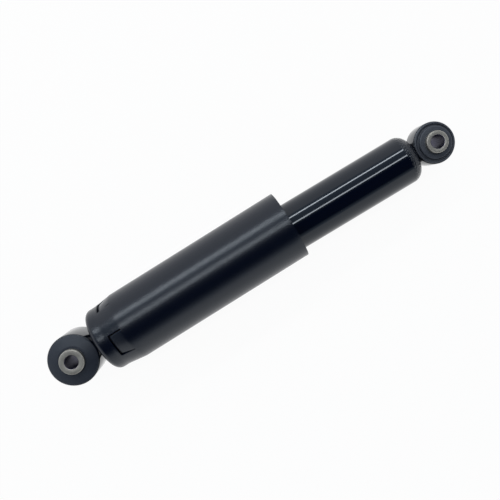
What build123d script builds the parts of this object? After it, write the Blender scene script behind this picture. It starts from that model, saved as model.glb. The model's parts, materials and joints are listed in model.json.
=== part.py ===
from build123d import *
import math
import os

# Twin-tube hydraulic shock absorber with a snap-fit dust cover and a rubber-bushed eye at each end.
# Origin: centre of the base eye's bore. +X: along the stroke, towards the rod eye.
# +Z: along the bores of both eyes. Millimetres throughout; every x below is a place along the stroke.

# Stroke, counted from the modelled length
stroke_in = 55.0
stroke_out = 65.0
end_gap = 0.3

# Clearances and seats
running_clearance = 0.05
bond_clearance = 0.05
plate_clearance = 0.1
piston_clearance = 0.3
weld_root_gap = 0.2
thread_clearance = 0.05
wide_clearance = 0.6

# Bolt holes of both eyes, for an M12 bolt
bolt_hole_radius = 6.1
sleeve_outer_chamfer = 0.5
sleeve_bore_chamfer = 0.5
ring_edge_rounding = 0.6
rubber_rounding = 0.6

# Roundings of turned and moulded edges
small_edge_rounding = 0.4
head_edge_rounding = 0.8
bumper_edge_rounding = 1.0
bumper_waist_rounding = 2.0

# Base eye, welded to the closed end of the reservoir
base_ring_radius = 19.0
base_ring_wall = 3.0
base_ring_width = 22.0
base_sleeve_radius = 9.85
base_sleeve_length = 40.0
base_rim_setback = 0.7
base_rim_height = 1.8
base_groove_depth = 1.8
base_groove_height = 0.7
base_boss_radius = 14.6
base_boss_height = 4.0
base_weld_half_width = 10.5
base_weld_half_height = 9.5
base_weld_depth = 8.0
base_weld_taper = 18.0

# Rod eye, welded to the end of the rod
rod_ring_radius = 23.2
rod_ring_wall = 3.1
rod_ring_width = 35.0
rod_sleeve_radius = 11.2
rod_sleeve_length = 50.0
rod_rim_setback = 0.8
rod_rim_height = 0.9
rod_boss_radius = 13.4
rod_boss_height = 3.4
rod_weld_start_radius = 8.2
rod_weld_end_radius = 10.6
rod_weld_reach = 2.6

# Reservoir tube, spun closed at the base and rolled over the seal at the other end
reservoir_radius = 22.5
reservoir_wall = 1.5
reservoir_end_thickness = 2.5
reservoir_shoulder_rounding = 11.0
reservoir_lip_radius = 15.5
reservoir_lip_thickness = 1.5
reservoir_lip_rounding = 2.4

# Pressure tube and its foot valve
pressure_bore_radius = 15.0
pressure_wall = 1.5
spigot_clearance = 0.05
foot_skirt_height = 4.8
foot_skirt_radius = 10.4
foot_skirt_bore = 8.4
foot_skirt_slots = 6
foot_skirt_slot_width = 3.2
foot_skirt_slot_height = 3.4
foot_plate_thickness = 3.0
foot_spigot_height = 7.0
foot_bore_radius = 3.0
foot_inlet_count = 8
foot_inlet_radius = 1.25
foot_inlet_circle = 11.9
foot_bleed_count = 5
foot_bleed_radius = 0.9
foot_bleed_circle = 5.6
foot_gallery_depth = 1.0
foot_disc_radii = (7.6, 7.6, 6.4, 5.6)
foot_rivet_head_radius = 5.2
foot_rivet_head_height = 2.0
foot_stop_radius = 7.4
foot_stop_thickness = 1.2
foot_plate_lift_space = 4.2
foot_spring_wire = 0.5
foot_spring_turns = 3.0
foot_spring_small_radius = 5.0
foot_spring_large_radius = 7.0
check_plate_thickness = 0.6
check_window_radius = 1.2
check_window_offset = 0.3
disc_thickness = 0.3

# Room below the rod's tip at the end of the inward stroke
foot_clearance = 4.0

# Piston rod
rod_radius = 6.2
rod_spigot_radius = 5.0
rod_tip_reach = 1.5
rod_tip_chamfer = 0.8

# Piston and its valves
nut_height = 6.5
nut_across_flats = 15.0
nut_chamfer_angle = 30.0
support_washer_thickness = 1.5
support_washer_radius = 7.6
piston_height = 12.0
piston_hub_radius = 6.6
piston_inlet_count = 8
piston_inlet_radius = 1.15
piston_inlet_circle = 11.5
piston_bleed_count = 6
piston_bleed_radius = 0.95
piston_bleed_circle = 8.2
piston_gallery_depth = 0.9
rebound_disc_radii = (9.9, 9.9, 8.8, 8.0)
band_width = 8.0
band_radial_depth = 1.55
band_side_gap = 0.2
star_spring_height = 2.2
star_spring_thickness = 0.3
star_spring_fingers = 6
star_spring_slot = 3.4
stop_plate_thickness = 2.0
stop_plate_radius = 12.0
check_plate_radius = 13.4

# Rebound stop on the rod
stop_spacing = 3.7
stop_ring_height = 4.0
stop_ring_radius = 9.6
bumper_height = 10.0
bumper_radius = 11.0
bumper_waist = 0.9

# Rod guide, seal and the disc under the rolled lip
guide_spigot_height = 8.0
guide_flange_height = 8.0
guide_recess_radius = 10.6
guide_recess_depth = 4.2
guide_bush_wall = 1.05
guide_bush_length = 10.0
guide_bush_setback = 0.8
guide_return_count = 4
guide_return_radius = 1.1
guide_return_depth = 1.2
seal_height = 4.5
seal_lip_reach = 3.4
seal_lip_radius = 8.2
seal_root_radius = 9.0
seal_relief_depth = 1.15
garter_wire_radius = 0.6
garter_setback = 1.4
seal_washer_thickness = 1.5

# Bump stop
bump_stop_length = 53.9
bump_stop_collar_height = 9.0
bump_stop_lobes = 3
bump_stop_lobe_radius = 20.5
bump_stop_groove_radius = 15.0
bump_stop_nose_radius = 12.5
bump_stop_nose_height = 9.0
bump_stop_collar_gap = 0.3

# Stamped cup on the rod that carries the bump stop and the dust cover
retainer_thickness = 2.0
retainer_depth = 11.9
retainer_corner_rounding = 3.0

# Dust cover, snapped over the cup
cover_length = 201.3
cover_radius = 32.5
cover_wall = 1.8
cover_neck_radius = 30.2
cover_neck_length = 11.3
cover_cone_length = 16.5
cover_end_rounding = 5.5
cover_cone_rounding = 20.0
cover_rim_rounding = 0.5
cover_end_to_ring = 2.5
cover_play = 0.8
cover_radial_play = 0.5
cover_pass_clearance = 0.8
cover_lean = 1.0

# Snap tabs of the dust cover
tab_count = 4
tab_first_angle = 15.2
tab_width_angle = 39.0
tab_slit_angle = 1.5
tab_slit_width = 0.9
tab_length = 12.5
tab_drop = 1.5
tab_catch = 1.2
tab_barb_length = 3.0
tab_inset = 0.35
tab_root_overlap = 1.2

# Places along the stroke, from the base eye upwards
reservoir_start_x = base_ring_radius + weld_root_gap
reservoir_floor_x = reservoir_start_x + reservoir_end_thickness
foot_plate_x = reservoir_floor_x + foot_skirt_height
pressure_start_x = foot_plate_x + foot_plate_thickness
foot_seat_x = pressure_start_x + foot_spigot_height
foot_stop_x = foot_seat_x + check_plate_thickness + foot_plate_lift_space
foot_top_x = foot_stop_x + foot_stop_thickness
rod_tip_x = foot_top_x + foot_clearance + stroke_in
nut_x = rod_tip_x + rod_tip_reach
support_washer_x = nut_x + nut_height
rebound_discs_x = support_washer_x + support_washer_thickness
piston_x = rebound_discs_x + disc_thickness * len(rebound_disc_radii)
piston_top_x = piston_x + piston_height
piston_hub_height = check_plate_thickness + star_spring_height
stop_plate_x = piston_top_x + piston_hub_height
rod_shoulder_x = stop_plate_x + stop_plate_thickness
stop_ring_x = rod_shoulder_x + stop_spacing
bumper_x = stop_ring_x + stop_ring_height
bumper_top_x = bumper_x + bumper_height
guide_x = bumper_top_x + end_gap + stroke_out
guide_flange_x = guide_x + guide_spigot_height
seal_x = guide_flange_x + guide_flange_height
seal_washer_x = seal_x + seal_height
reservoir_lip_x = seal_washer_x + seal_washer_thickness
reservoir_top_x = reservoir_lip_x + reservoir_lip_thickness
bump_stop_x = reservoir_top_x + stroke_in + end_gap
retainer_inner_x = bump_stop_x + bump_stop_length
retainer_top_x = retainer_inner_x + retainer_thickness
retainer_rim_x = retainer_top_x - retainer_depth
cover_inner_end_x = retainer_top_x + cover_play
cover_end_x = cover_inner_end_x + cover_wall
cover_mouth_x = cover_end_x - cover_length
rod_ring_start_x = cover_end_x + cover_end_to_ring
rod_end_x = rod_ring_start_x - weld_root_gap
eye_to_eye = rod_ring_start_x + rod_ring_radius

# Sizes that follow from the ones above
base_rim_radius = base_ring_radius - base_rim_setback
base_groove_radius = base_rim_radius - base_groove_depth
rod_rim_radius = rod_ring_radius - rod_rim_setback
reservoir_bore = reservoir_radius - reservoir_wall
pressure_radius = pressure_bore_radius + pressure_wall
spigot_radius = pressure_bore_radius - spigot_clearance
band_outer_radius = pressure_bore_radius - running_clearance
band_inner_radius = band_outer_radius - band_radial_depth
band_groove_radius = band_inner_radius - running_clearance
piston_radius = pressure_bore_radius - piston_clearance
rod_bore_radius = rod_radius + running_clearance
spigot_bore_radius = rod_spigot_radius + thread_clearance
guide_bush_radius = rod_bore_radius + guide_bush_wall
retainer_radius = cover_neck_radius - cover_wall - cover_radial_play
retainer_bore = rod_radius
cover_hole_radius = reservoir_radius + cover_pass_clearance
cover_lean_x = (retainer_rim_x + retainer_top_x) / 2


def rounded_face(corners):
    """Closed face through (u, v) or (u, v, rounding) corners."""
    face = make_face(Polyline(*[corner[:2] for corner in corners], close=True))
    for rounding in sorted({corner[2] for corner in corners if len(corner) > 2}):
        places = [Vector(*c[:2]) for c in corners if len(c) > 2 and c[2] == rounding]
        picked = [v for v in face.vertices() if min((Vector(v) - p).length for p in places) < 1e-5]
        face = fillet(picked, rounding)
    return face


def turned(*corners):
    """Solid of revolution about the stroke axis, from (x, radius) corners."""
    return revolve(rounded_face(corners), Axis.X)


def eye_turned(centre_x, *corners):
    """Solid of revolution about an eye's bore, from (radius, z) corners."""
    return Pos(centre_x, 0, 0) * revolve(Plane.XZ * rounded_face(corners), Axis.Z)


def disc(start_x, end_x, inner_radius, outer_radius):
    """Plain washer or tube about the stroke axis."""
    return turned(
        (start_x, inner_radius), (end_x, inner_radius), (end_x, outer_radius), (start_x, outer_radius)
    )


def torus(x, ring_radius, wire_radius):
    """Ring of round wire about the stroke axis."""
    return revolve(Pos(x, ring_radius) * Circle(wire_radius), Axis.X)


def along_x(start_x, length, shape):
    """Flat shape drawn across the stroke axis and extruded along it."""
    plane = Plane(origin=(start_x, 0, 0), x_dir=(0, 1, 0), z_dir=(1, 0, 0))
    return extrude(plane * shape, length)


def passages(start_x, end_x, circle_radius, hole_radius, count):
    """Round passages parallel to the stroke axis, evenly spaced on a circle."""
    holes = PolarLocations(circle_radius, count) * Circle(hole_radius)
    return along_x(start_x, end_x - start_x, Sketch() + holes)


def eye_cylinder(centre_x, radius, width):
    """Solid cylinder along an eye's bore."""
    return Pos(centre_x, 0, 0) * Cylinder(radius, width)


def eye_ring(centre_x, radius, wall, width):
    """Steel ring of an eye."""
    half = width / 2
    return eye_turned(
        centre_x,
        (radius - wall, -half, ring_edge_rounding),
        (radius, -half, ring_edge_rounding),
        (radius, half, ring_edge_rounding),
        (radius - wall, half, ring_edge_rounding),
    )


def eye_sleeve(centre_x, radius, length):
    """Steel sleeve through an eye's rubber, with chamfered ends."""
    half = length / 2
    bore_edge = half - sleeve_bore_chamfer
    outer_edge = half - sleeve_outer_chamfer
    upper = [
        (bolt_hole_radius, bore_edge),
        (bolt_hole_radius + sleeve_bore_chamfer, half),
        (radius - sleeve_outer_chamfer, half),
        (radius, outer_edge),
    ]
    lower = [(r, -z) for r, z in reversed(upper)]
    return eye_turned(centre_x, *upper, *lower)


def eye_bush(centre_x, ring_bore, ring_width, sleeve_radius, face_steps):
    """Rubber between ring and sleeve; face_steps run inwards as (radius, height over the ring's face)."""
    half = ring_width / 2
    # the ring's rounded inner edges are left free of rubber, so the two solids only touch
    upper = [(ring_bore, half)]
    upper += [(step[0], half + step[1], *step[2:]) for step in face_steps]
    upper += [(sleeve_radius + bond_clearance, half + face_steps[-1][1])]
    lower = [(corner[0], -corner[1], *corner[2:]) for corner in reversed(upper)]
    return eye_turned(centre_x, *upper, *lower)


def base_eye():
    """Base eye: ring, rubber bush, sleeve and the weld to the reservoir."""
    ring = eye_ring(0, base_ring_radius, base_ring_wall, base_ring_width)
    sleeve = eye_sleeve(0, base_sleeve_radius, base_sleeve_length)
    steps = [
        (base_rim_radius, 0.0),
        (base_rim_radius, base_rim_height, rubber_rounding),
        (base_groove_radius, base_rim_height, rubber_rounding),
        (base_groove_radius, base_groove_height),
        (base_boss_radius, base_groove_height),
        (base_boss_radius, base_boss_height, rubber_rounding),
    ]
    bush = eye_bush(0, base_ring_radius - base_ring_wall, base_ring_width, base_sleeve_radius, steps)
    plane = Plane(origin=(reservoir_start_x, 0, 0), x_dir=(0, 1, 0), z_dir=(-1, 0, 0))
    bead = plane * Ellipse(base_weld_half_width, base_weld_half_height)
    weld = extrude(bead, base_weld_depth, taper=base_weld_taper)
    weld = weld - eye_cylinder(0, base_ring_radius, base_ring_width)
    return {
        "base_eye_ring": ring,
        "base_eye_bush": bush,
        "base_eye_weld": weld,
        "base_eye_sleeve": sleeve,
    }


def rod_eye():
    """Rod eye: ring, rubber bush, sleeve and the weld that joins ring, rod and cup."""
    ring = eye_ring(eye_to_eye, rod_ring_radius, rod_ring_wall, rod_ring_width)
    sleeve = eye_sleeve(eye_to_eye, rod_sleeve_radius, rod_sleeve_length)
    steps = [
        (rod_rim_radius, 0.0),
        (rod_rim_radius, rod_rim_height, rubber_rounding),
        (rod_boss_radius, rod_boss_height, rubber_rounding),
    ]
    bore = rod_ring_radius - rod_ring_wall
    bush = eye_bush(eye_to_eye, bore, rod_ring_width, rod_sleeve_radius, steps)
    weld = turned(
        (retainer_top_x, rod_radius),
        (retainer_top_x, rod_weld_start_radius),
        (rod_ring_start_x + rod_weld_reach, rod_weld_end_radius),
        (rod_ring_start_x + rod_weld_reach, 0),
        (rod_end_x, 0),
        (rod_end_x, rod_radius),
    )
    weld = weld - eye_cylinder(eye_to_eye, rod_ring_radius, rod_ring_width)
    return {
        "rod_eye_ring": ring,
        "rod_eye_bush": bush,
        "rod_eye_weld": weld,
        "rod_eye_sleeve": sleeve,
    }


def tubes():
    """Outer reservoir tube and inner pressure tube."""
    inner_rounding = reservoir_shoulder_rounding - reservoir_wall
    reservoir = turned(
        (reservoir_start_x, 0),
        (reservoir_start_x, reservoir_radius, reservoir_shoulder_rounding),
        (reservoir_top_x, reservoir_radius, reservoir_lip_rounding),
        (reservoir_top_x, reservoir_lip_radius),
        (reservoir_lip_x, reservoir_lip_radius),
        (reservoir_lip_x, reservoir_bore),
        (reservoir_floor_x, reservoir_bore, inner_rounding),
        (reservoir_floor_x, 0),
    )
    pressure = disc(pressure_start_x, guide_flange_x, pressure_bore_radius, pressure_radius)
    return {"reservoir_tube": reservoir, "pressure_tube": pressure}


def valve_discs(seat_x, towards, bore_radius, radii):
    """Stack of thin spring-steel discs, the widest against the seat, as separate solids."""
    stack = []
    for place, radius in enumerate(radii):
        near = seat_x + towards * disc_thickness * place
        far = near + towards * disc_thickness
        stack.append(disc(min(near, far), max(near, far), bore_radius, radius))
    return Compound(children=stack)


def check_plate(seat_x, bore_radius, radius, window_circle, window_count):
    """Flat check plate with windows over the inner passages."""
    plate = disc(seat_x, seat_x + check_plate_thickness, bore_radius, radius)
    end_x = seat_x + check_plate_thickness
    return plate - passages(seat_x, end_x, window_circle, check_window_radius, window_count)


def gallery(seat_x, circle_radius, hole_radius, depth):
    """Annular groove that joins the passages under a valve plate."""
    return disc(seat_x - depth, seat_x, circle_radius - hole_radius, circle_radius + hole_radius)


def foot_valve():
    """Valve between the pressure tube and the reservoir, standing on the reservoir's floor."""
    body = turned(
        (reservoir_floor_x, foot_skirt_bore),
        (reservoir_floor_x, foot_skirt_radius),
        (foot_plate_x, foot_skirt_radius),
        (foot_plate_x, pressure_radius),
        (pressure_start_x, pressure_radius),
        (pressure_start_x, spigot_radius),
        (foot_seat_x, spigot_radius),
        (foot_seat_x, foot_bore_radius),
        (foot_plate_x, foot_bore_radius),
        (foot_plate_x, foot_skirt_bore),
    )
    body = body - passages(
        foot_plate_x, foot_seat_x, foot_inlet_circle, foot_inlet_radius, foot_inlet_count
    )
    body = body - passages(
        foot_plate_x, foot_seat_x, foot_bleed_circle, foot_bleed_radius, foot_bleed_count
    )
    body = body - gallery(foot_seat_x, foot_inlet_circle, foot_inlet_radius, foot_gallery_depth)
    slot_length = 2 * foot_skirt_radius
    slot = Rectangle(slot_length, foot_skirt_slot_width, align=(Align.MIN, Align.CENTER))
    slots = Sketch() + PolarLocations(0, foot_skirt_slots) * slot
    slots = slots - Circle((foot_skirt_bore + foot_bore_radius) / 2)
    # the slots stop short of the plate, which stays whole
    body = body - along_x(reservoir_floor_x, foot_skirt_slot_height, slots)

    discs = valve_discs(foot_plate_x, -1, foot_bore_radius, foot_disc_radii)
    head_top_x = foot_plate_x - disc_thickness * len(foot_disc_radii)
    pin = turned(
        (head_top_x - foot_rivet_head_height, 0),
        (head_top_x - foot_rivet_head_height, foot_rivet_head_radius, head_edge_rounding),
        (head_top_x, foot_rivet_head_radius),
        (head_top_x, foot_bore_radius),
        (foot_stop_x, foot_bore_radius),
        (foot_stop_x, foot_stop_radius),
        (foot_top_x, foot_stop_radius, small_edge_rounding),
        (foot_top_x, 0),
    )
    plate = check_plate(
        foot_seat_x,
        foot_bore_radius + plate_clearance,
        foot_inlet_circle + foot_inlet_radius + wide_clearance,
        foot_bleed_circle,
        foot_bleed_count,
    )
    return {
        "foot_valve_body": body,
        "foot_valve_discs": discs,
        "foot_valve_pin": pin,
        "foot_valve_check_plate": plate,
        "foot_valve_spring": foot_valve_spring(),
    }


def foot_valve_spring():
    """Conical coil spring between the check plate and the pin's upper head."""
    rise = foot_plate_lift_space - 2 * foot_spring_wire
    start = foot_seat_x + check_plate_thickness + foot_spring_wire
    cone_angle = math.degrees(
        math.atan2(foot_spring_small_radius - foot_spring_large_radius, rise)
    )
    coil = Helix(
        pitch=rise / foot_spring_turns,
        height=rise,
        radius=foot_spring_large_radius,
        cone_angle=cone_angle,
    )
    section = Plane(origin=coil @ 0, z_dir=coil % 0) * Circle(foot_spring_wire)
    spring = sweep(section, path=coil, is_frenet=True)
    return Pos(start, 0, 0) * Rot(Y=90) * spring


def piston_group():
    """Piston, its valves and the nut that clamps them against the rod's shoulder."""
    middle_x = (piston_x + piston_top_x) / 2
    groove_half = band_width / 2 + band_side_gap
    body = turned(
        (piston_x, spigot_bore_radius),
        (piston_x, piston_radius, small_edge_rounding),
        (middle_x - groove_half, piston_radius),
        (middle_x - groove_half, band_groove_radius),
        (middle_x + groove_half, band_groove_radius),
        (middle_x + groove_half, piston_radius),
        (piston_top_x, piston_radius, small_edge_rounding),
        (piston_top_x, piston_hub_radius),
        (stop_plate_x, piston_hub_radius),
        (stop_plate_x, spigot_bore_radius),
    )
    body = body - passages(
        piston_x, piston_top_x, piston_inlet_circle, piston_inlet_radius, piston_inlet_count
    )
    body = body - passages(
        piston_x, piston_top_x, piston_bleed_circle, piston_bleed_radius, piston_bleed_count
    )
    body = body - gallery(
        piston_top_x, piston_inlet_circle, piston_inlet_radius, piston_gallery_depth
    )
    body = body - gallery(
        piston_x + piston_gallery_depth, piston_bleed_circle, piston_bleed_radius, piston_gallery_depth
    )
    band = disc(
        middle_x - band_width / 2, middle_x + band_width / 2, band_inner_radius, band_outer_radius
    )
    discs = valve_discs(piston_x, -1, spigot_bore_radius, rebound_disc_radii)
    washer = disc(support_washer_x, rebound_discs_x, spigot_bore_radius, support_washer_radius)
    plate = check_plate(
        piston_top_x,
        piston_hub_radius + plate_clearance,
        check_plate_radius,
        piston_bleed_circle + check_window_offset,
        piston_bleed_count,
    )
    stop_plate = disc(stop_plate_x, rod_shoulder_x, spigot_bore_radius, stop_plate_radius)
    return {
        "piston": body,
        "piston_band": band,
        "rebound_discs": discs,
        "rebound_support_washer": washer,
        "piston_check_plate": plate,
        "piston_check_spring": star_spring(),
        "piston_stop_plate": stop_plate,
        "piston_nut": piston_nut(),
    }


def star_spring():
    """Shallow conical star that holds the piston's check plate on its seat."""
    outer_radius = stop_plate_radius + wide_clearance
    inner_radius = piston_hub_radius + plate_clearance
    low_x = piston_top_x + check_plate_thickness
    spring = turned(
        (stop_plate_x - star_spring_thickness, inner_radius),
        (stop_plate_x, inner_radius),
        (low_x + star_spring_thickness, outer_radius),
        (low_x, outer_radius),
    )
    root_radius = piston_hub_radius + star_spring_slot / 2
    slot = Pos(root_radius, 0) * Rectangle(
        outer_radius, star_spring_slot, align=(Align.MIN, Align.CENTER)
    )
    slots = Sketch() + PolarLocations(0, star_spring_fingers) * slot
    return spring - along_x(low_x, star_spring_height, slots)


def piston_nut():
    """Hexagon nut with chamfered corners on the rod's threaded tip."""
    hexagon = RegularPolygon(nut_across_flats / 2, 6, major_radius=False)
    blank = along_x(nut_x, nut_height, hexagon - Circle(spigot_bore_radius))
    corner_radius = nut_across_flats / math.sqrt(3)
    chamfer = (corner_radius - nut_across_flats / 2) * math.tan(math.radians(nut_chamfer_angle))
    envelope = turned(
        (nut_x, 0),
        (nut_x, nut_across_flats / 2),
        (nut_x + chamfer, corner_radius),
        (nut_x + nut_height, corner_radius),
        (nut_x + nut_height, 0),
    )
    return blank & envelope


def rod_and_stops():
    """Piston rod with its rebound stop and the bump stop."""
    rod = turned(
        (rod_tip_x, 0),
        (rod_tip_x, rod_spigot_radius - rod_tip_chamfer),
        (rod_tip_x + rod_tip_chamfer, rod_spigot_radius),
        (rod_shoulder_x, rod_spigot_radius),
        (rod_shoulder_x, rod_radius),
        (rod_end_x, rod_radius),
        (rod_end_x, 0),
    )
    stop_ring = turned(
        (stop_ring_x, rod_radius),
        (stop_ring_x, stop_ring_radius, head_edge_rounding),
        (bumper_x, stop_ring_radius),
        (bumper_x, rod_radius),
    )
    bumper = turned(
        (bumper_x, rod_radius),
        (bumper_x, bumper_radius, bumper_edge_rounding),
        ((bumper_x + bumper_top_x) / 2, bumper_radius - bumper_waist, bumper_waist_rounding),
        (bumper_top_x, bumper_radius, bumper_edge_rounding),
        (bumper_top_x, rod_radius),
    )
    return {
        "piston_rod": rod,
        "rebound_stop_ring": stop_ring,
        "rebound_bumper": bumper,
        "bump_stop": bump_stop(),
    }


def bump_stop():
    """Foam bump stop: a collar in the cup, rounded lobes with grooves between them, and a slim nose."""
    collar_x = retainer_inner_x - bump_stop_collar_height
    lobes_x = bump_stop_x + bump_stop_nose_height
    lobe_length = (collar_x - lobes_x) / bump_stop_lobes
    collar_radius = retainer_radius - retainer_thickness - bump_stop_collar_gap
    corner = retainer_corner_rounding - retainer_thickness
    bore = rod_radius + end_gap
    nose_middle = (bump_stop_x + lobes_x) / 2
    nose_bulge = (bump_stop_nose_radius + bump_stop_groove_radius) / 2 + end_gap
    outline = Line((bump_stop_x, bore), (bump_stop_x, bump_stop_nose_radius))
    outline += ThreePointArc(
        (bump_stop_x, bump_stop_nose_radius),
        (nose_middle, nose_bulge),
        (lobes_x, bump_stop_groove_radius),
    )
    for lobe in range(bump_stop_lobes):
        start_x = lobes_x + lobe * lobe_length
        outline += ThreePointArc(
            (start_x, bump_stop_groove_radius),
            (start_x + lobe_length / 2, bump_stop_lobe_radius),
            (start_x + lobe_length, bump_stop_groove_radius),
        )
    outline += Polyline(
        (collar_x, bump_stop_groove_radius),
        (collar_x, collar_radius),
        (retainer_inner_x - corner, collar_radius),
        (retainer_inner_x, collar_radius - corner),
        (retainer_inner_x, bore),
        (bump_stop_x, bore),
    )
    return revolve(make_face(outline), Axis.X)


def head_group():
    """Rod guide, its bush, the rod seal with its garter spring, and the disc over them."""
    fit_radius = reservoir_bore - spigot_clearance
    recess_floor_x = seal_x - guide_recess_depth
    guide = turned(
        (guide_x, guide_bush_radius),
        (guide_x, spigot_radius, head_edge_rounding),
        (guide_flange_x, spigot_radius),
        (guide_flange_x, fit_radius, small_edge_rounding),
        (seal_x, fit_radius),
        (seal_x, guide_recess_radius),
        (recess_floor_x, guide_recess_radius),
        (recess_floor_x, guide_bush_radius),
    )
    return_circle = (pressure_radius + fit_radius) / 2
    guide = guide - passages(
        guide_flange_x, seal_x, return_circle, guide_return_radius, guide_return_count
    )
    channel = Rectangle(return_circle, 2 * guide_return_radius, align=(Align.MIN, Align.CENTER))
    channels = Sketch() + PolarLocations(0, guide_return_count) * channel
    guide = guide - along_x(seal_x - guide_return_depth, guide_return_depth, channels)

    bush_x = guide_x + guide_bush_setback
    bush = disc(bush_x, bush_x + guide_bush_length, rod_bore_radius, guide_bush_radius)

    lip_x = seal_x - seal_lip_reach
    relief_radius = rod_bore_radius + seal_relief_depth
    seal = turned(
        (lip_x, rod_bore_radius),
        (lip_x, seal_lip_radius, small_edge_rounding),
        (seal_x, seal_root_radius),
        (seal_x, fit_radius),
        (seal_washer_x, fit_radius),
        (seal_washer_x, rod_bore_radius),
        (seal_washer_x - seal_relief_depth, rod_bore_radius),
        (seal_washer_x - 2 * seal_relief_depth, relief_radius),
        (lip_x + 2 * seal_relief_depth, relief_radius),
        (lip_x + seal_relief_depth, rod_bore_radius),
    )
    garter_radius = seal_lip_radius + garter_wire_radius
    garter = torus(lip_x + garter_setback, garter_radius, garter_wire_radius)
    washer = disc(seal_washer_x, reservoir_lip_x, rod_radius + wide_clearance, fit_radius)
    return {
        "rod_guide": guide,
        "rod_guide_bush": bush,
        "rod_seal": seal - garter,
        "garter_spring": garter,
        "seal_washer": washer,
    }


def cover_retainer():
    """Stamped steel cup, welded to the rod under the eye."""
    inner_radius = retainer_radius - retainer_thickness
    return turned(
        (retainer_top_x, retainer_bore),
        (retainer_top_x, retainer_radius, retainer_corner_rounding),
        (retainer_rim_x, retainer_radius),
        (retainer_rim_x, inner_radius),
        (retainer_inner_x, inner_radius, retainer_corner_rounding - retainer_thickness),
        (retainer_inner_x, retainer_bore),
    )


def cover_radius_at(x):
    """Outer radius of the dust cover's neck, cone or body."""
    neck_x = cover_end_x - cover_neck_length
    share = (neck_x - x) / cover_cone_length
    share = min(max(share, 0.0), 1.0)
    return cover_neck_radius + share * (cover_radius - cover_neck_radius)


def dust_cover():
    """Moulded dust cover with snap tabs cut into its cone, leaning by its play on the cup."""
    neck_x = cover_end_x - cover_neck_length
    cone_x = neck_x - cover_cone_length
    shell = turned(
        (cover_mouth_x, cover_radius, cover_rim_rounding),
        (cone_x, cover_radius, cover_cone_rounding),
        (neck_x, cover_neck_radius, cover_cone_rounding),
        (cover_end_x, cover_neck_radius, cover_end_rounding),
        (cover_end_x, cover_hole_radius),
        (cover_inner_end_x, cover_hole_radius),
        (cover_inner_end_x, cover_neck_radius - cover_wall, cover_end_rounding - cover_wall),
        (neck_x, cover_neck_radius - cover_wall, cover_cone_rounding),
        (cone_x, cover_radius - cover_wall, cover_cone_rounding),
        (cover_mouth_x, cover_radius - cover_wall, cover_rim_rounding),
    )
    tab_end_x = retainer_rim_x - cover_play
    hinge_x = tab_end_x - tab_length
    window_end_x = tab_end_x + tab_slit_width
    window = rounded_face(
        [
            (hinge_x, retainer_radius - 2 * cover_wall),
            (window_end_x, retainer_radius - 2 * cover_wall),
            (window_end_x, cover_radius + cover_wall),
            (hinge_x, cover_radius + cover_wall),
        ]
    )
    tip_radius = cover_radius_at(tab_end_x) - tab_drop
    catch_radius = retainer_radius - tab_catch
    # the tab is thinner than the wall, so it grows out of the wall's middle
    tab_thickness = cover_wall - 2 * tab_inset
    barb_x = tab_end_x - tab_barb_length
    root_x = hinge_x - tab_root_overlap
    root_radius = cover_radius_at(hinge_x) - tab_inset
    tab = rounded_face(
        [
            (root_x, root_radius),
            (hinge_x, root_radius),
            (tab_end_x, tip_radius),
            (tab_end_x, catch_radius),
            (barb_x, tip_radius - tab_thickness),
            (hinge_x, root_radius - tab_thickness),
            (root_x, root_radius - tab_thickness),
        ]
    )
    window_angle = tab_width_angle + 2 * tab_slit_angle
    for place in range(tab_count):
        # angles are counted from +Z towards +Y, and a revolve starts at +Y
        centre = 90 - tab_first_angle + place * 360 / tab_count
        shell = shell - Rot(X=centre - window_angle / 2) * revolve(window, Axis.X, window_angle)
        shell = shell + Rot(X=centre - tab_width_angle / 2) * revolve(tab, Axis.X, tab_width_angle)
    return Pos(cover_lean_x, 0, 0) * Rot(Z=cover_lean) * Pos(-cover_lean_x, 0, 0) * shell


def main():
    """Builds every piece and writes one STEP file for each."""
    nodes = {}
    nodes.update(base_eye())
    nodes.update(tubes())
    nodes.update(foot_valve())
    nodes.update(head_group())
    nodes.update(piston_group())
    nodes.update(rod_and_stops())
    nodes["cover_retainer"] = cover_retainer()
    nodes.update(rod_eye())
    nodes["dust_cover"] = dust_cover()
    os.makedirs("parts", exist_ok=True)
    for name, shape in nodes.items():
        export_step(shape, f"parts/{name}.step")
    print(f"eye to eye {eye_to_eye:.2f} mm, {eye_to_eye - stroke_in:.2f} to {eye_to_eye + stroke_out:.2f} mm")


main()
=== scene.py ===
"""Shock absorber with a snap-fit dust cover: its finishes, finer shells and studio."""

import json
import logging
import math
from collections.abc import Sequence
from dataclasses import dataclass, field
from enum import Enum

import bmesh
import bpy
from mathutils import Matrix, Vector

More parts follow.
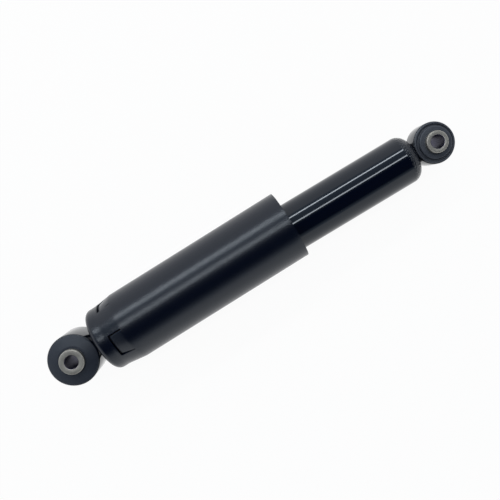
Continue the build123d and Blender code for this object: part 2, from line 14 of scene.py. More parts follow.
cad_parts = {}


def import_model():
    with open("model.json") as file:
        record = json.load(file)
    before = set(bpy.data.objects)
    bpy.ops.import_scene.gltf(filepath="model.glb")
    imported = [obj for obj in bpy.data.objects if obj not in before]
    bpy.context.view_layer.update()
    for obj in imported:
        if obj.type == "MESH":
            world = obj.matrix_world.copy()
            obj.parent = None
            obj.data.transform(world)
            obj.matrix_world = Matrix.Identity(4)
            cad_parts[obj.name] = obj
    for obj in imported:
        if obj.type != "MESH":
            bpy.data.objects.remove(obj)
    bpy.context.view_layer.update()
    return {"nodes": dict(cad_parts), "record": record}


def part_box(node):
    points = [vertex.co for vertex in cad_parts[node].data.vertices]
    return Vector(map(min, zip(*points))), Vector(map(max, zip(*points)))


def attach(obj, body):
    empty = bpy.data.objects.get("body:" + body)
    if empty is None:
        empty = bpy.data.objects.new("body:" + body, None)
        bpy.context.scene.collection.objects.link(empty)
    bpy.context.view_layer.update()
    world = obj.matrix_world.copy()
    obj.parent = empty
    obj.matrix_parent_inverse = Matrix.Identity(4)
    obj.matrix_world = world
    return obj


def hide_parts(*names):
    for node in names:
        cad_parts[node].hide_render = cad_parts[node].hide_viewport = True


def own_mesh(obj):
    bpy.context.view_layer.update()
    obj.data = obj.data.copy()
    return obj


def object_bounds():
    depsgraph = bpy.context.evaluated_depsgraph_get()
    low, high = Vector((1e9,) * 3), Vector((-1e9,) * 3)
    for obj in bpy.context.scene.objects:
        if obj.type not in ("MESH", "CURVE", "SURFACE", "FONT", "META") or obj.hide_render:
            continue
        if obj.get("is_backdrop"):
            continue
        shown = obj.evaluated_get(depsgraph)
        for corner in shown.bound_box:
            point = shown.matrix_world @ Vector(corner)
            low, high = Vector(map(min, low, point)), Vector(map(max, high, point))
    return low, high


LOG = logging.getLogger("shock_absorber")
MM = 0.001
SPIN_STEPS = 240
SHARP_ANGLE = math.radians(32)
RIM_ANGLE = math.radians(55)
WELD_DISTANCE = 1e-6

# Tint of the reflection on paint and moulded pieces, which the photo shows faintly blue
COOL_SHINE = (0.84, 0.92, 1.0)

# The cup is painted together with the rod eye that it is welded to
PAINTED_OVER = {"cover_retainer": "black_paint"}

# The camera looks down on the object, swung by CAMERA_TILT about the stroke towards -Y,
# and turned so that the rod eye lies at the lower left of its view
IMAGE_PIXELS = 500
SENSOR_MM = 36.0
FOCAL_PIXELS = 579.5
CAMERA_HEIGHT = 0.530
CAMERA_X = 0.191
CAMERA_Y = -0.0018
CAMERA_TURN = math.radians(149.0)
CAMERA_TILT = math.radians(4.3)


class Axis(Enum):
    """Line that a turned piece is spun about."""

    STROKE = "stroke"
    BORE = "bore"


@dataclass(frozen=True)
class Corner:
    """Corner of a turned outline, in millimetres.

    along is the place along the axis, radius the distance from it.
    """

    along: float
    radius: float
    rounding: float = 0.0
    segments: int = 6


def corner_offset(before: Corner, corner: Corner, after: Corner) -> float:
    """Distance from a corner at which its rounding starts.

    Args:
        before: The corner before it.
        corner: The corner to round.
        after: The corner after it.

    Returns:
        The distance along either side, in metres.
    """
    here = Vector((corner.along, corner.radius))
    inward = here - Vector((before.along, before.radius))
    outward = Vector((after.along, after.radius)) - here
    turn = inward.angle(outward)
    return corner.rounding * math.tan(turn / 2) * MM


def outline_mesh(corners: list[Corner], axis: Axis, centre_x: float) -> bmesh.types.BMesh:
    """Closed outline of a turned piece, with its corners rounded, as loose edges.

    Args:
        corners: The outline's corners in order.
        axis: The line that it will be spun about.
        centre_x: Where a bore's axis crosses the stroke, in metres.

    Returns:
        A new mesh that holds only the outline.
    """
    mesh = bmesh.new()
    verts = []
    for corner in corners:
        along, radius = corner.along * MM, corner.radius * MM
        place = (along, radius, 0) if axis is Axis.STROKE else (centre_x + radius, 0, along)
        verts.append(mesh.verts.new(place))
    face = mesh.faces.new(verts)
    for index, corner in enumerate(corners):
        if corner.rounding:
            after = corners[(index + 1) % len(corners)]
            bmesh.ops.bevel(
                mesh,
                geom=[verts[index]],
                offset=corner_offset(corners[index - 1], corner, after),
                offset_type="OFFSET",
                segments=corner.segments,
                profile=0.5,
                affect="VERTICES",
                material=-1,
            )
    bmesh.ops.delete(mesh, geom=list(mesh.faces), context="FACES_ONLY")
    return mesh


def finish_mesh(mesh: bmesh.types.BMesh, name: str) -> bpy.types.Object:
    """Turns a worked mesh into a smooth-shaded object with sharp edges kept sharp.

    Args:
        mesh: The mesh, which is freed.
        name: The new object's name.

    Returns:
        The object, linked to the scene.
    """
    bmesh.ops.remove_doubles(mesh, verts=mesh.verts, dist=WELD_DISTANCE)
    bmesh.ops.recalc_face_normals(mesh, faces=mesh.faces)
    for face in mesh.faces:
        face.smooth = True
    for edge in mesh.edges:
        edge.smooth = edge.calc_face_angle(0.0) < SHARP_ANGLE
    data = bpy.data.meshes.new(name)
    mesh.to_mesh(data)
    mesh.free()
    piece = bpy.data.objects.new(name, data)
    bpy.context.scene.collection.objects.link(piece)
    return piece


def spin_round(
    mesh: bmesh.types.BMesh, axis: Axis = Axis.STROKE, centre_x: float = 0.0
) -> None:
    """Spins all that a mesh holds once round, and closes it on itself.

    Args:
        mesh: The mesh, which holds only an outline.
        axis: The line that it is spun about.
        centre_x: Where a bore's axis crosses the stroke, in metres.
    """
    bmesh.ops.spin(
        mesh,
        geom=mesh.verts[:] + mesh.edges[:],
        cent=(centre_x, 0, 0),
        axis=(1, 0, 0) if axis is Axis.STROKE else (0, 0, 1),
        angle=2 * math.pi,
        steps=SPIN_STEPS,
        use_merge=True,
    )


def turned(
    name: str, corners: list[Corner], axis: Axis = Axis.STROKE, centre_x: float = 0.0
) -> bpy.types.Object:
    """Turned piece, spun from a closed outline.

    Args:
        name: The new object's name.
        corners: The outline's corners in order.
        axis: The line that it is spun about.
        centre_x: Where a bore's axis crosses the stroke, in metres.

    Returns:
        The finished object.
    """
    mesh = outline_mesh(corners, axis, centre_x)
    spin_round(mesh, axis, centre_x)
    return finish_mesh(mesh, name)


class Graph:
    """Shorthand for adding and joining nodes in one tree."""

    def __init__(self, tree: bpy.types.NodeTree) -> None:
        """Keeps the tree that nodes are added to."""
        self.tree = tree

    def add(self, kind: str, inputs: dict | None = None, **settings: object) -> bpy.types.Node:
        """Adds a node.

        Args:
            kind: The node's type, without its ShaderNode prefix.
            inputs: Values or output sockets, by input name or number.
            **settings: The node's own properties.

        Returns:
            The new node.
        """
        node = self.tree.nodes.new(f"ShaderNode{kind}")
        for key, value in settings.items():
            setattr(node, key, value)
        for key, value in (inputs or {}).items():
            if isinstance(value, bpy.types.NodeSocket):
                self.tree.links.new(value, node.inputs[key])
            else:
                node.inputs[key].default_value = value
        return node

    def maths(self, operation: str, *values: bpy.types.NodeSocket | float) -> bpy.types.Node:
        """Adds a Math node that works on the given values, in order."""
        return self.add("Math", dict(enumerate(values)), operation=operation)

    def place(self) -> bpy.types.NodeSocket:
        """Object coordinates of the shaded point."""
        return self.add("TexCoord").outputs["Object"]

    def use(self, group: bpy.types.NodeTree, **inputs: object) -> bpy.types.Node:
        """Places a shared effect.

        Args:
            group: The effect's node group.
            **inputs: Its inputs, with underscores for spaces.

        Returns:
            The group's node.
        """
        node = self.tree.nodes.new("ShaderNodeGroup")
        node.node_tree = group
        for key, value in inputs.items():
            socket = node.inputs[key.replace("_", " ")]
            if isinstance(value, bpy.types.NodeSocket):
                self.tree.links.new(value, socket)
            else:
                socket.default_value = value
        return node


def new_group(name: str, inputs: dict[str, float], outputs: list[str]) -> tuple[Graph, dict, dict]:
    """Starts a shared effect with named sockets.

    Args:
        name: The group's name.
        inputs: Number inputs and their usual values; Place is added for the coordinates.
        outputs: The names of its number outputs.

    Returns:
        The group's graph, its input sockets and its output sockets, by name.
    """
    tree = bpy.data.node_groups.new(name, "ShaderNodeTree")
    tree.interface.new_socket("Place", in_out="INPUT", socket_type="NodeSocketVector")
    for label, value in inputs.items():
        socket = tree.interface.new_socket(label, in_out="INPUT", socket_type="NodeSocketFloat")
        socket.default_value = value
    for label in outputs:
        tree.interface.new_socket(label, in_out="OUTPUT", socket_type="NodeSocketFloat")
    inside = tree.nodes.new("NodeGroupInput")
    outside = tree.nodes.new("NodeGroupOutput")
    return Graph(tree), inside.outputs, outside.inputs


@dataclass
class Effects:
    """Surface effects that several finishes share."""

    grain: bpy.types.NodeTree = field(init=False)
    specks: bpy.types.NodeTree = field(init=False)
    lathe: bpy.types.NodeTree = field(init=False)
    blotches: bpy.types.NodeTree = field(init=False)

    def __post_init__(self) -> None:
        """Builds each effect once."""
        self.grain = self.build_grain()
        self.specks = self.build_specks()
        self.lathe = self.build_lathe()
        self.blotches = self.build_blotches()

    def build_grain(self) -> bpy.types.NodeTree:
        """Fine grain, as a height; Stretch draws it out along the stroke.

        Returns:
            The effect's node group.
        """
        graph, inside, outside = new_group("grain", {"Scale": 900.0, "Stretch": 1.0}, ["Height"])
        scale = graph.add("CombineXYZ", {"X": inside["Stretch"], "Y": 1.0, "Z": 1.0})
        place = graph.add(
            "VectorMath", {0: inside["Place"], 1: scale.outputs[0]}, operation="MULTIPLY"
        )
        noise = graph.add(
            "TexNoise", {"Vector": place.outputs[0], "Scale": inside["Scale"], "Detail": 3.0}
        )
        graph.tree.links.new(noise.outputs["Fac"], outside["Height"])
        return graph.tree

    def build_specks(self) -> bpy.types.NodeTree:
        """Sparse round specks of dust, as a mask.

        Returns:
            The effect's node group.
        """
        graph, inside, outside = new_group("specks", {"Scale": 500.0, "Amount": 0.1}, ["Mask"])
        cells = graph.add("TexVoronoi", {"Vector": inside["Place"], "Scale": inside["Scale"]})
        edge = {"From Min": 0.1, "From Max": 0.28, "To Min": 1.0, "To Max": 0.0}
        near = graph.add("MapRange", {"Value": cells.outputs["Distance"], **edge})
        chosen = graph.add("SeparateColor", {0: cells.outputs["Color"]})
        rare = graph.maths("LESS_THAN", chosen.outputs[0], inside["Amount"])
        mask = graph.maths("MULTIPLY", near.outputs[0], rare.outputs[0])
        graph.tree.links.new(mask.outputs[0], outside["Mask"])
        return graph.tree

    def build_lathe(self) -> bpy.types.NodeTree:
        """Rings that a cutting tool leaves round the Z axis, as a height.

        Returns:
            The effect's node group.
        """
        graph, inside, outside = new_group("lathe", {"Pitch": 5000.0, "Wander": 0.6}, ["Height"])
        split = graph.add("SeparateXYZ", {0: inside["Place"]})
        flat = graph.add("CombineXYZ", {"X": split.outputs["X"], "Y": split.outputs["Y"]})
        radius = graph.add("VectorMath", {0: flat.outputs[0]}, operation="LENGTH")
        noise = graph.add("TexNoise", {"Vector": inside["Place"], "Scale": 300.0, "Detail": 2.0})
        wander = graph.maths("MULTIPLY", noise.outputs["Fac"], inside["Wander"])
        along = graph.maths("ADD", radius.outputs["Value"], split.outputs["Z"])
        turns = graph.maths("MULTIPLY", along.outputs[0], inside["Pitch"])
        phase = graph.maths("ADD", turns.outputs[0], wander.outputs[0])
        rings = graph.maths("SINE", phase.outputs[0])
        graph.tree.links.new(rings.outputs[0], outside["Height"])
        return graph.tree

    def build_blotches(self) -> bpy.types.NodeTree:
        """Soft uneven patches, as a mask from 0 to 1.

        Returns:
            The effect's node group.
        """
        graph, inside, outside = new_group("blotches", {"Scale": 40.0, "Contrast": 1.0}, ["Mask"])
        noise = graph.add(
            "TexNoise",
            {"Vector": inside["Place"], "Scale": inside["Scale"], "Detail": 4.0, "Roughness": 0.6},
        )
        centred = graph.maths("SUBTRACT", noise.outputs["Fac"], 0.5)
        spread = graph.maths("MULTIPLY", centred.outputs[0], inside["Contrast"])
        mask = graph.maths("ADD", spread.outputs[0], 0.5)
        mask.use_clamp = True
        graph.tree.links.new(mask.outputs[0], outside["Mask"])
        return graph.tree


def new_material(name: str) -> tuple[bpy.types.Material, Graph, bpy.types.Node]:
    """Starts a material.

    Args:
        name: The material's name.

    Returns:
        The material, its graph and its Principled shader.
    """
    material = bpy.data.materials.new(name)
    material.use_nodes = True
    return material, Graph(material.node_tree), material.node_tree.nodes["Principled BSDF"]


def mix_colours(
    graph: Graph, mask: bpy.types.NodeSocket, low: tuple[float, ...], high: tuple[float, ...]
) -> bpy.types.NodeSocket:
    """Colour that goes from low to high with a mask.

    Args:
        graph: The material's graph.
        mask: The mask's socket.
        low: Colour where the mask is 0.
        high: Colour where the mask is 1.

    Returns:
        The colour's socket.
    """
    node = graph.add("Mix", {"Factor": mask}, data_type="RGBA")
    node.inputs["A"].default_value = (*low, 1.0)
    node.inputs["B"].default_value = (*high, 1.0)
    return node.outputs["Result"]


def map_range(
    graph: Graph, value: bpy.types.NodeSocket, low: float, high: float
) -> bpy.types.NodeSocket:
    """Number that goes from low to high as value goes from 0 to 1."""
    return graph.add("MapRange", {"Value": value, "To Min": low, "To Max": high}).outputs[0]


@dataclass(frozen=True)
class Lacquer:
    """Stoved or sprayed paint, gloss or satin, with a slight peel and a little dust."""

    name: str
    colour: tuple[float, float, float]
    dust_colour: tuple[float, float, float] = (0.05, 0.052, 0.056)
    roughness: float = 0.08
    roughness_spread: float = 0.02
    peel_scale: float = 160.0
    peel_height: float = 0.0006
    dust: float = 0.006
    dust_scale: float = 700.0
    mottled_until: float = 0.0
    mottle_scale: float = 520.0
    mottle_height: float = 0.9

    def build(self, effects: Effects) -> bpy.types.Material:
        """Makes the material.

        Args:
            effects: The shared effects.

        Returns:
            The material.
        """
        material, graph, shader = new_material(self.name)
        place = graph.place()
        patches = graph.use(effects.blotches, Place=place, Scale=60.0, Contrast=2.0)
        dust = graph.use(effects.specks, Place=place, Scale=self.dust_scale, Amount=self.dust)
        colour = mix_colours(graph, dust.outputs["Mask"], self.colour, self.dust_colour)
        low, high = self.roughness - self.roughness_spread, self.roughness + self.roughness_spread
        roughness = map_range(graph, patches.outputs["Mask"], low, high)
        peel = graph.use(effects.grain, Place=place, Scale=self.peel_scale, Stretch=1.0)
        height = {"Height": peel.outputs["Height"], "Strength": self.peel_height}
        bump = graph.add("Bump", {**height, "Distance": MM})
        if self.mottled_until:
            bump = self.mottle(graph, effects, bump.outputs[0])
        links = graph.tree.links
        links.new(colour, shader.inputs["Base Color"])
        links.new(roughness, shader.inputs["Roughness"])
        links.new(bump.outputs[0], shader.inputs["Normal"])
        shader.inputs["Specular Tint"].default_value = (*COOL_SHINE, 1.0)
        return material

    def mottle(
        self, graph: Graph, effects: Effects, normal: bpy.types.NodeSocket
    ) -> bpy.types.Node:
        """Coarser peel where the spun end begins.

        Args:
            graph: The material's graph.
            effects: The shared effects.
            normal: Normal of the smooth paint.

        Returns:
            The bump's node.
        """
        place = graph.place()
        along = graph.add("SeparateXYZ", {0: place}).outputs["X"]
        fade = {"From Min": self.mottled_until, "From Max": self.mottled_until - MM}
        share = graph.add("MapRange", {"Value": along, **fade, "To Max": self.mottle_height})
        coarse = graph.use(effects.grain, Place=place, Scale=self.mottle_scale, Stretch=1.0)
        height = {"Height": coarse.outputs["Height"], "Strength": share.outputs[0]}
        return graph.add("Bump", {**height, "Distance": MM, "Normal": normal})


@dataclass(frozen=True)
class Moulded:
    """Moulded rubber, plastic or foam with a fine surface grain."""

    name: str
    colour: tuple[float, float, float]
    worn_colour: tuple[float, float, float]
    roughness: float = 0.5
    roughness_spread: float = 0.08
    grain_scale: float = 1500.0
    grain_height: float = 0.1
    dust: float = 0.05
    stretch: float = 1.0
    specular: float = 0.5
    worn_share: float = 0.45

    def build(self, effects: Effects) -> bpy.types.Material:
        """Makes the material.

        Args:
            effects: The shared effects.

        Returns:
            The material.
        """
        material, graph, shader = new_material(self.name)
        place = graph.place()
        blotches = graph.use(effects.blotches, Place=place, Scale=90.0, Contrast=1.6)
        patches = blotches.outputs["Mask"]
        grain = graph.use(effects.grain, Place=place, Scale=self.grain_scale, Stretch=self.stretch)
        dust = graph.use(effects.specks, Place=place, Scale=900.0, Amount=self.dust)
        worn = graph.maths("MULTIPLY", patches, self.worn_share)
        mask = graph.maths("MAXIMUM", worn.outputs[0], dust.outputs["Mask"])
        colour = mix_colours(graph, mask.outputs[0], self.colour, self.worn_colour)
        low, high = self.roughness - self.roughness_spread, self.roughness + self.roughness_spread
        roughness = map_range(graph, patches, low, high)
        bump = graph.add(
            "Bump",
            {"Height": grain.outputs["Height"], "Strength": self.grain_height, "Distance": 0.0005},
        )
        links = graph.tree.links
        links.new(colour, shader.inputs["Base Color"])
        links.new(roughness, shader.inputs["Roughness"])
        links.new(bump.outputs[0], shader.inputs["Normal"])
        shader.inputs["Specular IOR Level"].default_value = self.specular
        shader.inputs["Specular Tint"].default_value = (*COOL_SHINE, 1.0)
        return material


@dataclass(frozen=True)
class Metal:
    """Bare or plated metal with the marks of its making."""

    name: str
    colour: tuple[float, float, float]
    stained_colour: tuple[float, float, float]
    roughness: float = 0.35
    roughness_spread: float = 0.08
    lathe_pitch: float = 9000.0
    lathe_height: float = 0.1
    lathe_centre: float = 0.0
    grain_scale: float = 1200.0
    grain_height: float = 0.05
    stretch: float = 1.0
    # Inside bore_radius the metal's colour turns to the dark bore colour: painted shade on the
    # bore's wall
    bore_radius: float = 0.0
    bore_shade_colour: tuple[float, float, float] = (0.031, 0.031, 0.075)

    def build(self, effects: Effects) -> bpy.types.Material:
        """Makes the material.

        Args:
            effects: The shared effects.

        Returns:
            The material.
        """
        material, graph, shader = new_material(self.name)
        place = graph.place()
        centred = graph.add("Mapping", {"Vector": place, "Location": (-self.lathe_centre, 0, 0)})
        blotches = graph.use(effects.blotches, Place=place, Scale=120.0, Contrast=2.2)
        patches = blotches.outputs["Mask"]
        grain = graph.use(effects.grain, Place=place, Scale=self.grain_scale, Stretch=self.stretch)
        rings = graph.use(effects.lathe, Place=centred.outputs[0], Pitch=self.lathe_pitch)
        colour = mix_colours(graph, patches, self.colour, self.stained_colour)
        low, high = self.roughness - self.roughness_spread, self.roughness + self.roughness_spread
        roughness = map_range(graph, grain.outputs["Height"], low, high)
        fine = graph.add(
            "Bump",
            {"Height": grain.outputs["Height"], "Strength": self.grain_height, "Distance": 0.0004},
        )
        bump = graph.add(
            "Bump",
            {
                "Height": rings.outputs["Height"],
                "Strength": self.lathe_height,
                "Distance": 0.0002,
                "Normal": fine.outputs[0],
            },
        )
        # Paints shade on the bore's wall, inside bore_radius
        if self.bore_radius:
            colour = self.paint_bore_shade(graph, centred.outputs[0], colour)
        links = graph.tree.links
        links.new(colour, shader.inputs["Base Color"])
        links.new(roughness, shader.inputs["Roughness"])
        links.new(bump.outputs[0], shader.inputs["Normal"])
        shader.inputs["Metallic"].default_value = 1.0
        return material

    def paint_bore_shade(
        self, graph: Graph, centred: bpy.types.NodeSocket, colour: bpy.types.NodeSocket
    ) -> bpy.types.NodeSocket:
        """Painted shade on the wall of a bore along Z: a dark bluish colour inside the bore's
        radius stands in for the shade there.

        Args:
            graph: The material's graph.
            centred: Coordinates measured from the bore's axis.
            colour: The bare metal's colour.

        Returns:
            The colour with the painted shade.
        """
        flat = graph.add("VectorMath", {0: centred, 1: (1, 1, 0)}, operation="MULTIPLY")
        radius = graph.add("VectorMath", {0: flat.outputs[0]}, operation="LENGTH").outputs["Value"]
        # Inside the bore's radius the colour is painted dark, as painted shade
        inside = graph.maths("LESS_THAN", radius, self.bore_radius)
        node = graph.add("Mix", {"Factor": inside.outputs[0]}, data_type="RGBA")
        graph.tree.links.new(colour, node.inputs["A"])
        node.inputs["B"].default_value = (*self.bore_shade_colour, 1.0)
        return node.outputs["Result"]


def finishes(effects: Effects, rod_eye_x: float) -> dict[str, bpy.types.Material]:
    """Every finish of the object, by the record's slot.

    Args:
        effects: The shared effects.
        rod_eye_x: Where the rod eye's axis crosses the stroke, in metres.

    Returns:
        The materials, by slot name; the rod eye's sleeve has one of its own.
    """
    bare = dict(
        colour=(0.4, 0.4, 0.37),
        stained_colour=(0.29, 0.28, 0.265),
        roughness=0.46,
        lathe_height=0.05,
        # Radius inside which the bore's wall gets painted shade
        bore_radius=0.0064,
    )
    made = {
        "black_paint": Lacquer("black_paint", (0.0009, 0.0022, 0.0072)),
        "spun_paint": Lacquer("spun_paint", (0.0005, 0.0018, 0.0072), mottled_until=0.0305),
        "weld": Lacquer(
            "weld", (0.001, 0.0024, 0.0074), roughness=0.16, peel_scale=1400.0, peel_height=0.3
        ),
        "bare_steel": Metal("bare_steel", **bare),
        "rod_sleeve_steel": Metal("rod_sleeve_steel", **bare, lathe_centre=rod_eye_x),
        "chromed_rod": Metal(
            "chromed_rod",
            (0.62, 0.63, 0.65),
            (0.55, 0.56, 0.58),
            roughness=0.12,
            roughness_spread=0.04,
            lathe_height=0.0,
            grain_scale=2500.0,
        ),
        "tube_steel": Metal(
            "tube_steel", (0.42, 0.42, 0.41), (0.3, 0.29, 0.27), roughness=0.38, stretch=0.05
        ),
        "sintered_iron": Metal(
            "sintered_iron",
            (0.2, 0.2, 0.2),
            (0.12, 0.12, 0.12),
            roughness=0.6,
            lathe_height=0.0,
            grain_scale=3000.0,
            grain_height=0.4,
        ),
        "spring_steel": Metal("spring_steel", (0.3, 0.31, 0.33), (0.2, 0.21, 0.24), roughness=0.3),
        "zinc_steel": Metal("zinc_steel", (0.55, 0.55, 0.52), (0.42, 0.43, 0.44), roughness=0.34),
        "bush_bronze": Metal("bush_bronze", (0.5, 0.32, 0.16), (0.33, 0.2, 0.1), roughness=0.4),
        "band_plastic": Moulded("band_plastic", (0.03, 0.03, 0.032), (0.06, 0.06, 0.062)),
        "eye_rubber": Moulded(
            "eye_rubber",
            (0.008, 0.011, 0.02),
            (0.02, 0.024, 0.036),
            roughness=0.48,
            grain_height=0.25,
            grain_scale=900.0,
        ),
        "base_rubber": Moulded(
            "base_rubber",
            (0.03, 0.034, 0.045),
            (0.055, 0.06, 0.074),
            roughness=0.44,
            grain_height=0.25,
            grain_scale=900.0,
        ),
        "seal_rubber": Moulded(
            "seal_rubber", (0.01, 0.01, 0.011), (0.02, 0.02, 0.022), roughness=0.35
        ),
        "foam": Moulded(
            "foam",
            (0.5, 0.4, 0.2),
            (0.36, 0.27, 0.12),
            roughness=0.85,
            grain_scale=2200.0,
            grain_height=0.6,
        ),
        "cover_plastic": Moulded(
            "cover_plastic",
            (0.0002, 0.0015, 0.0075),
            (0.0008, 0.0022, 0.0085),
            roughness=0.255,
            roughness_spread=0.012,
            grain_scale=1100.0,
            grain_height=0.16,
            dust=0.008,
            specular=0.52,
        ),
    }
    return {slot: finish.build(effects) for slot, finish in made.items()}


def dress(piece: bpy.types.Object, material: bpy.types.Material) -> None:
    """Gives a piece one finish.

    Args:
        piece: The object.
        material: Its finish.
    """
    if not piece.data.materials:
        piece.data.materials.append(material)
    for slot in piece.material_slots:
        slot.material = material


def stand_for(piece: bpy.types.Object, node: str, body: str) -> None:
    """Lets a finer mesh stand for a CAD node and move with its body.

    Args:
        piece: The finer mesh.
        node: The node that it hides.
        body: The body that it rides on.
    """
    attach(piece, body)
    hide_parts(node)
    LOG.info("%s stands for %s on %s", piece.name, node, body)


@dataclass
class Eye:
    """Rubber-bushed eye: ring, bush and sleeve, turned about the bore. Sizes in millimetres."""

    label: str
    body: str
    sleeve_body: str
    steel: str
    rubber: str
    bush_steps: list[Corner]
    ring_wall: float
    bore_radius: float = 6.1
    ring_rounding: float = 0.8
    sleeve_outer_chamfer: float = 0.5
    sleeve_bore_chamfer: float = 0.5
    sleeve_bore_rounding: float = 0.15
    sleeve_outer_rounding: float = 0.3
    bond_gap: float = 0.02

    def __post_init__(self) -> None:
        """Reads the eye's place and outer sizes from the frame."""
        low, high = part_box(f"{self.label}_eye_ring")
        self.centre_x = (low.x + high.x) / 2
        self.ring_radius = (high.y - low.y) / 2 / MM
        self.ring_half = high.z / MM
        low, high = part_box(f"{self.label}_eye_sleeve")
        self.sleeve_radius = (high.y - low.y) / 2 / MM
        self.sleeve_half = high.z / MM

    def build_ring(self) -> bpy.types.Object:
        """Steel ring with rounded edges.

        Returns:
            The ring.
        """
        inner = self.ring_radius - self.ring_wall
        half, rounding = self.ring_half, self.ring_rounding
        corners = [
            Corner(-half, inner),
            Corner(-half, self.ring_radius, rounding),
            Corner(half, self.ring_radius, rounding),
            Corner(half, inner),
        ]
        return turned(f"{self.label}_eye_ring_shell", corners, Axis.BORE, self.centre_x)

    def build_sleeve(self) -> bpy.types.Object:
        """Steel sleeve with chamfered ends.

        Returns:
            The sleeve.
        """
        half, bore, outer = self.sleeve_half, self.bore_radius, self.sleeve_radius
        inner_cut, outer_cut = self.sleeve_bore_chamfer, self.sleeve_outer_chamfer
        upper = [
            Corner(half - inner_cut, bore),
            Corner(half, bore + inner_cut, self.sleeve_bore_rounding, 2),
            Corner(half, outer - outer_cut, self.sleeve_outer_rounding, 3),
            Corner(half - outer_cut, outer, self.sleeve_outer_rounding, 3),
        ]
        lower = [Corner(-c.along, c.radius, c.rounding, c.segments) for c in reversed(upper)]
        return turned(f"{self.label}_eye_sleeve_shell", upper + lower, Axis.BORE, self.centre_x)

    def build_bush(self) -> bpy.types.Object:
        """Rubber bush, with its steps on both faces of the ring.

        Returns:
            The bush.
        """
        upper = [Corner(self.ring_half, self.ring_radius - self.ring_wall)]
        upper += [
            Corner(self.ring_half + step.along, step.radius, step.rounding, step.segments)
            for step in self.bush_steps
        ]
        bond_radius = self.sleeve_radius + self.bond_gap
        upper.append(Corner(self.ring_half + self.bush_steps[-1].along, bond_radius))
        lower = [Corner(-c.along, c.radius, c.rounding, c.segments) for c in reversed(upper)]
        return turned(f"{self.label}_eye_bush_shell", upper + lower, Axis.BORE, self.centre_x)

    def build(self, finish: dict[str, bpy.types.Material]) -> None:
        """Builds and dresses the eye.

        Args:
            finish: The finishes, by slot.
        """
        parts = [
            (self.build_ring(), "ring", self.body, "black_paint", "black_paint"),
            (self.build_bush(), "bush", self.body, "eye_rubber", self.rubber),
            (self.build_sleeve(), "sleeve", self.sleeve_body, "bare_steel", self.steel),
        ]
        for piece, kind, body, slot, material in parts:
            dress(piece, finish[material])
            stand_for(piece, f"{self.label}_eye_{kind}", body)


@dataclass
class WeldBead:
    """Rippled weld bead between an eye's ring and the tube's end. Sizes in millimetres."""

    label: str
    body: str
    eye: Eye
    plane_x: float
    half_width: float
    half_height: float
    ring_side: int
    spread: float = 1.2
    bulge: float = 0.7
    ripple: float = 0.28
    ripple_lag: float = 2.2
    ripples: int = 22
    sink: float = 0.35
    steps: int = 176
    loops: int = 9

    def build(self, finish: dict[str, bpy.types.Material]) -> bpy.types.Object:
        """Builds and dresses the bead.

        Args:
            finish: The finishes, by slot.

        Returns:
            The bead.
        """
        mesh = bmesh.new()
        bmesh.ops.create_cone(
            mesh, cap_ends=True, cap_tris=False, segments=self.steps, radius1=1, radius2=1, depth=1
        )
        sides = [e for e in mesh.edges if abs(e.verts[0].co.z - e.verts[1].co.z) > 0.5]
        bmesh.ops.subdivide_edges(mesh, edges=sides, cuts=self.loops, use_grid_fill=True)
        for vert in mesh.verts:
            share = vert.co.z + 0.5
            angle = math.atan2(vert.co.y, vert.co.x)
            vert.co = self.surface_point(share, angle)
        piece = finish_mesh(mesh, f"{self.label}_bead")
        dress(piece, finish["weld"])
        stand_for(piece, self.label, self.body)
        return piece

    def surface_point(self, share: float, angle: float) -> Vector:
        """Point of the bead's skin.

        Args:
            share: 0 at the ring, 1 at the end that it is welded to.
            angle: Direction round the stroke.

        Returns:
            The point, in metres.
        """
        ripple = self.ripple * math.sin(self.ripples * angle + self.ripple_lag * share)
        swell = (self.bulge + ripple) * math.sin(math.pi * share) + self.spread * share
        across = (self.half_width + swell - self.spread) * math.cos(angle)
        up = (self.half_height + swell - self.spread) * math.sin(angle)
        ring_radius = self.eye.ring_radius - self.sink
        reach = math.sqrt(ring_radius**2 - across**2)
        ring_x = self.eye.centre_x / MM - self.ring_side * reach
        end_x = self.plane_x - self.ring_side * self.sink
        return Vector((ring_x + (end_x - ring_x) * share, across, up)) * MM


@dataclass
class Reservoir:
    """Gloss black reservoir tube, spun round at its closed end. Sizes in millimetres."""

    wall: float = 1.5
    floor: float = 2.5
    shoulder: float = 11.0
    lip_radius: float = 15.5
    lip_thickness: float = 1.5
    lip_rounding: float = 2.4

    def build(self, finish: dict[str, bpy.types.Material]) -> bpy.types.Object:
        """Builds and dresses the tube.

        Args:
            finish: The finishes, by slot.

        Returns:
            The tube.
        """
        low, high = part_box("reservoir_tube")
        start, top, radius = low.x / MM, high.x / MM, high.y / MM
        bore = radius - self.wall
        corners = [
            Corner(start, 0),
            Corner(start, radius, self.shoulder, 20),
            Corner(top, radius, self.lip_rounding, 8),
            Corner(top, self.lip_radius, 0.4, 3),
            Corner(top - self.lip_thickness, self.lip_radius),
            Corner(top - self.lip_thickness, bore),
            Corner(start + self.floor, bore, self.shoulder - self.wall, 10),
            Corner(start + self.floor, 0),
        ]
        tube = turned("reservoir_tube_shell", corners)
        dress(tube, finish["spun_paint"])
        stand_for(tube, "reservoir_tube", "reservoir")
        return tube


